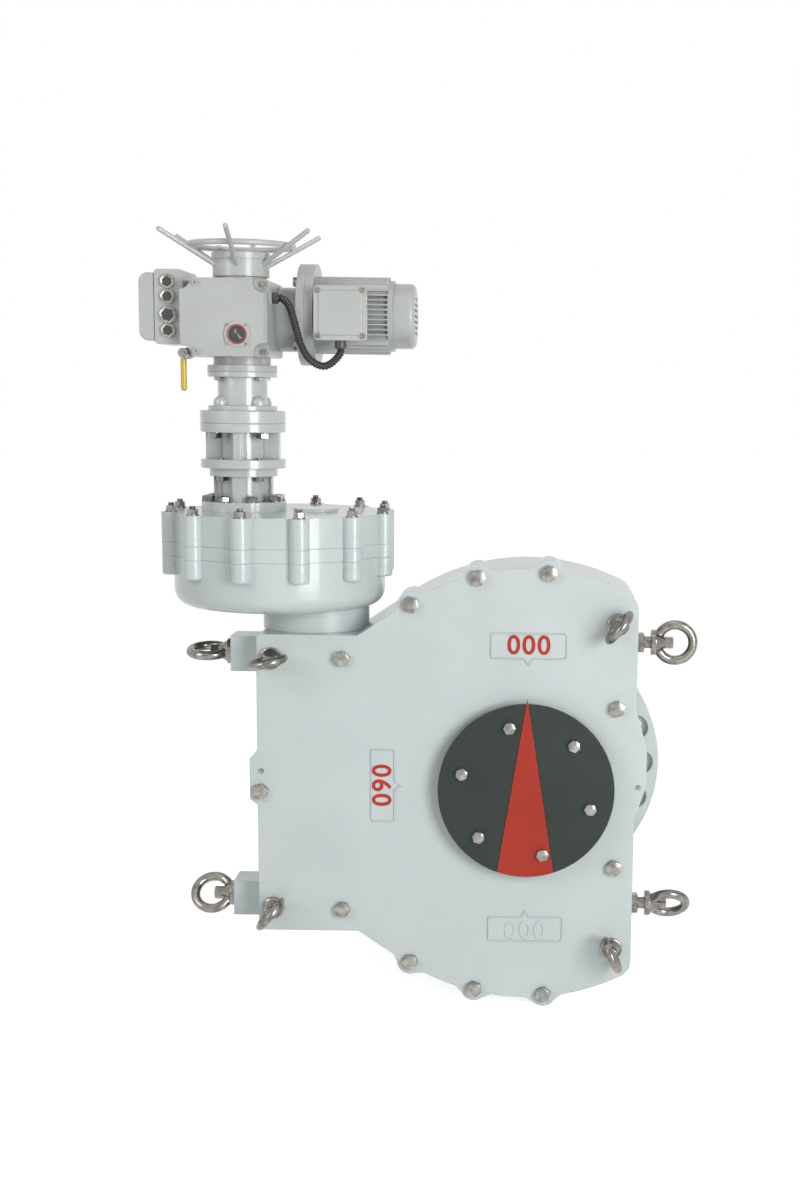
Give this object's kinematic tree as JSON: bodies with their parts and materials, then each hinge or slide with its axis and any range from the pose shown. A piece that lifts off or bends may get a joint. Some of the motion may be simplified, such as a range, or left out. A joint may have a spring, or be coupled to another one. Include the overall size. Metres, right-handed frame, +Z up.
{
  "type": "electric valve actuator",
  "caption": "Quarter-turn worm gearbox with a round spur reducer, a windowed spacer stack and an electric multi-turn actuator with handwheel, motor and position disc.",
  "frame": {"origin": "centre of the valve mounting face, on the output axis", "axes": "+Y out of the mounting face into the valve, +X right and +Z up seen from the front"},
  "size_m": [1.372, 0.5722, 1.9129],
  "materials": {
    "gearbox_paint": "glossy light grey enamel on cast iron",
    "actuator_paint": "satin light grey enamel on cast housings",
    "bright_steel": "zinc plated bolt steel",
    "shaft_steel": "ground steel",
    "eye_steel": "polished forged steel",
    "bronze": "cast bronze",
    "sector_iron": "machined ductile iron",
    "seal_rubber": "black rubber",
    "disc_black": "dark grey paint on steel plate",
    "pointer_red": "red paint",
    "handwheel_paint": "light grey paint on steel rod",
    "bezel_pink": "faded red paint on the window ring",
    "window_clear": "clear window",
    "dial_black": "black dial",
    "plug_black": "black plug plastic",
    "grip_yellow": "yellow grip",
    "conduit_black": "black corrugated plastic",
    "gasket": "flat gasket"
  },
  "bodies": {
    "frame": {"gearbox_housing": "gearbox_paint", "cover_gasket": "gasket", "front_cover": "gearbox_paint", "cover_bolts": "bright_steel", "cover_dowels": "bright_steel", "front_eye_bolts": "eye_steel", "side_eye_bolts": "eye_steel", "eye_lock_nuts": "eye_steel", "worm_end_cover": "gearbox_paint", "worm_bearings": "shaft_steel", "rear_bush": "bronze", "front_bush": "bronze", "sleeve_seal": "seal_rubber", "reducer_base": "gearbox_paint", "reducer_ring": "gearbox_paint", "reducer_lid": "gearbox_paint", "case_studs_and_nuts": "bright_steel", "spur_bearings": "shaft_steel", "lower_spacer": "actuator_paint", "base_flange_bolts": "bright_steel", "upper_spacer": "actuator_paint", "spacer_bolts": "bright_steel", "adapter": "actuator_paint", "adapter_bolts": "bright_steel", "flange_studs": "bright_steel", "actuator_housing": "actuator_paint", "control_cover": "actuator_paint", "control_cover_screws": "bright_steel", "window_bezel": "bezel_pink", "window_glass": "window_clear", "terminal_housing": "actuator_paint", "terminal_cap": "actuator_paint", "cable_plugs": "plug_black", "motor_adapter": "actuator_paint", "motor_body": "actuator_paint", "motor_bolts": "bright_steel", "motor_terminal_box": "actuator_paint", "motor_box_screws": "bright_steel", "fan_cowl": "actuator_paint", "conduit": "conduit_black", "conduit_glands": "plug_black"},
    "output": {"sector_wheel": "sector_iron", "drive_sleeve": "shaft_steel", "indicator_disc": "disc_black", "indicator_pointer": "pointer_red", "indicator_bolts": "bright_steel"},
    "worm": {"worm_shaft": "shaft_steel", "spur_gear": "shaft_steel"},
    "input": {"pinion_shaft": "shaft_steel", "coupling_sleeve": "shaft_steel", "drive_shaft": "shaft_steel"},
    "dial": {"position_dial": "dial_black"},
    "clutch_lever": {"lever_rod": "bright_steel", "lever_grip": "grip_yellow"},
    "hand_drive": {"handwheel": "handwheel_paint", "handwheel_knob": "actuator_paint"},
    "rotor": {"motor_rotor": "shaft_steel"},
    "motor_wheel": {"worm_wheel": "bronze"}
  },
  "joints": [
    {"name": "output_turn", "type": "hinge", "parent": "frame", "child": "output", "pos_m": [0, -0.2035, 0], "axis": [0, -1, 0], "range_deg": [0, 90]},
    {"name": "worm_turn", "type": "hinge", "parent": "frame", "child": "worm", "pos_m": [-0.536, -0.2035, 0], "axis": [0, 0, 1], "range_deg": [0, 5400]},
    {"name": "input_turn", "type": "hinge", "parent": "frame", "child": "input", "pos_m": [-0.716, -0.2035, 0.9], "axis": [0, 0, 1], "range_deg": [-27000, 0]},
    {"name": "handwheel_turn", "type": "hinge", "parent": "frame", "child": "hand_drive", "pos_m": [-0.716, -0.2035, 1.29], "axis": [0, 0, 1], "range_deg": [-27000, 0]},
    {"name": "dial_turn", "type": "hinge", "parent": "frame", "child": "dial", "pos_m": [-0.702, -0.34, 1.094], "axis": [0, -1, 0], "range_deg": [0, 180]},
    {"name": "clutch_lever_swing", "type": "hinge", "parent": "frame", "child": "clutch_lever", "pos_m": [-0.848, -0.266, 1.05], "axis": [0, 1, 0], "range_deg": [0, 40]},
    {"name": "motor_spin", "type": "hinge", "parent": "frame", "child": "rotor", "pos_m": [-0.5, -0.1285, 1.15], "axis": [-1, 0, 0], "continuous": true},
    {"name": "motor_wheel_spin", "type": "hinge", "parent": "frame", "child": "motor_wheel", "pos_m": [-0.716, -0.2035, 1.15], "axis": [0, 0, -1], "continuous": true}
  ],
  "couplings": [
    {"joint": "worm_turn", "follows": "output_turn", "ratio": 60},
    {"joint": "input_turn", "follows": "output_turn", "ratio": -300},
    {"joint": "handwheel_turn", "follows": "output_turn", "ratio": -300},
    {"joint": "dial_turn", "follows": "output_turn", "ratio": 2},
    {"joint": "motor_wheel_spin", "follows": "motor_spin", "ratio": 0.025}
  ]
}
